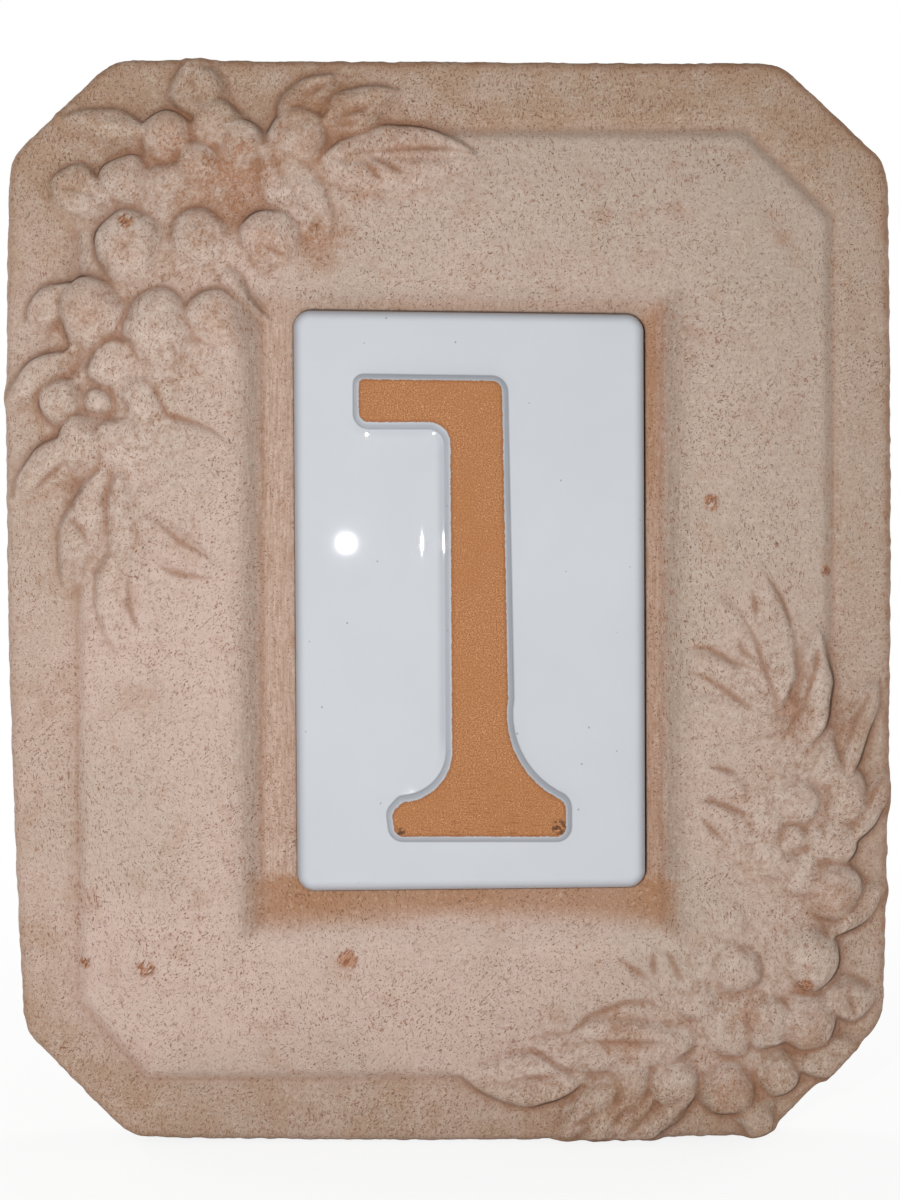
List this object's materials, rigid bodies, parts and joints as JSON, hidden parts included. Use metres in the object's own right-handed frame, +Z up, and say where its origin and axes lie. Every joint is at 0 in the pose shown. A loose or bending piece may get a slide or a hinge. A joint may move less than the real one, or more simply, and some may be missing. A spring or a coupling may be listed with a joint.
{
  "type": "house number plaque",
  "caption": "Terracotta wall plaque with cut corners, garlands of fruit, flowers and leaves in relief, and a white glazed tile with a raised house number in its recess.",
  "frame": {"origin": "middle of the plaque on its flat back face, where it meets the wall", "axes": "+Z up, +X to the right as a visitor sees the plaque, +Y into the wall, so the numeral faces -Y"},
  "size_m": [0.2004, 0.022, 0.2446],
  "materials": {
    "terracotta": "matt bare clay with a thin worn wash, browner in the hollows",
    "tile_glaze": "glossy white glaze, with bare orange clay on top of the numeral",
    "tile_adhesive": "matt cement"
  },
  "bodies": {
    "root": {"terracotta_frame": "terracotta", "number_tile": "tile_glaze", "adhesive_bed": "tile_adhesive"}
  },
  "joints": []
}
